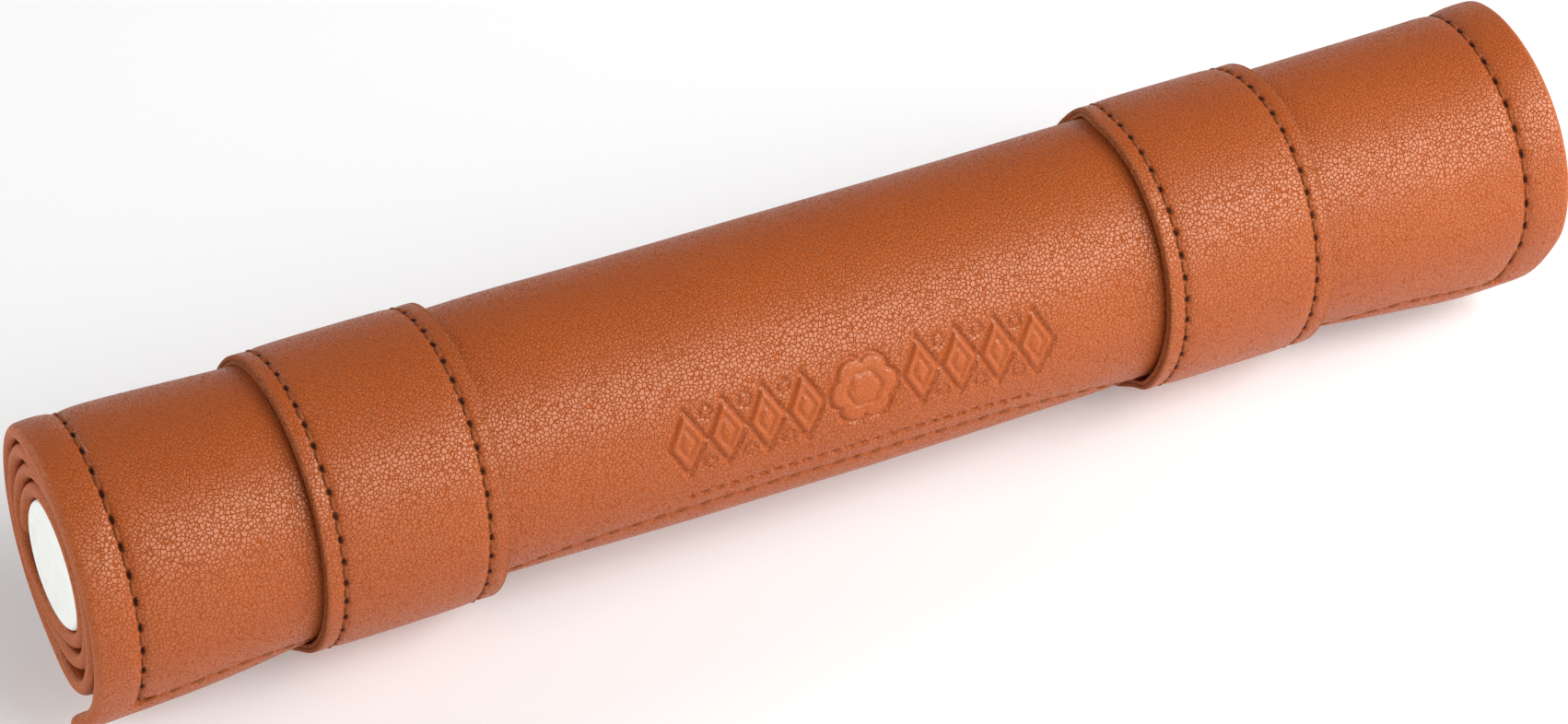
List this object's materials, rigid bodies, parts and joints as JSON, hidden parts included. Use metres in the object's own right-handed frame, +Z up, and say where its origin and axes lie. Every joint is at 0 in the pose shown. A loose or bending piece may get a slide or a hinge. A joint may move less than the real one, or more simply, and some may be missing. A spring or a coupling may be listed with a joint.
{
  "type": "roll case",
  "caption": "Padded leatherette sheet rolled up on a foam core and held closed by stitched slide-off bands, to carry brushes or other slim tools.",
  "frame": {"origin": "on the surface the roll rests on, under the middle of its length and its axis", "axes": "+X along the roll to its right-hand end, +Y to the back, +Z up"},
  "size_m": [0.3, 0.053, 0.0587],
  "materials": {
    "cover_leather": "semi-matte pebble grain",
    "band_leather": "semi-matte fine grain, raw cut edges",
    "band_backing": "matte, fibrous cut edges",
    "lining_cloth": "matte",
    "sheet_padding": "matte foam interlining",
    "core_foam": "matte closed-cell foam",
    "seam_thread": "matte machine thread"
  },
  "bodies": {
    "rolled_sheet": {"outer_cover": "cover_leather", "padding": "sheet_padding", "lining": "lining_cloth", "left_end_stitching": "seam_thread", "right_end_stitching": "seam_thread", "free_edge_stitching": "seam_thread", "inner_edge_stitching": "seam_thread"},
    "core": {"foam_core": "core_foam"},
    "left_band": {"left_band_face": "band_leather", "left_band_backing": "band_backing", "left_band_outer_seam": "seam_thread", "left_band_inner_seam": "seam_thread"},
    "right_band": {"right_band_face": "band_leather", "right_band_backing": "band_backing", "right_band_outer_seam": "seam_thread", "right_band_inner_seam": "seam_thread"}
  },
  "joints": [
    {"name": "left_band_slide", "type": "slide", "parent": "rolled_sheet", "child": "left_band", "axis": [1, 0, 0], "range_m": [-0.1, 0.06]},
    {"name": "right_band_slide", "type": "slide", "parent": "rolled_sheet", "child": "right_band", "axis": [1, 0, 0], "range_m": [-0.06, 0.1]},
    {"name": "core_slide", "type": "slide", "parent": "rolled_sheet", "child": "core", "axis": [1, 0, 0], "range_m": [-0.3, 0.3]}
  ]
}
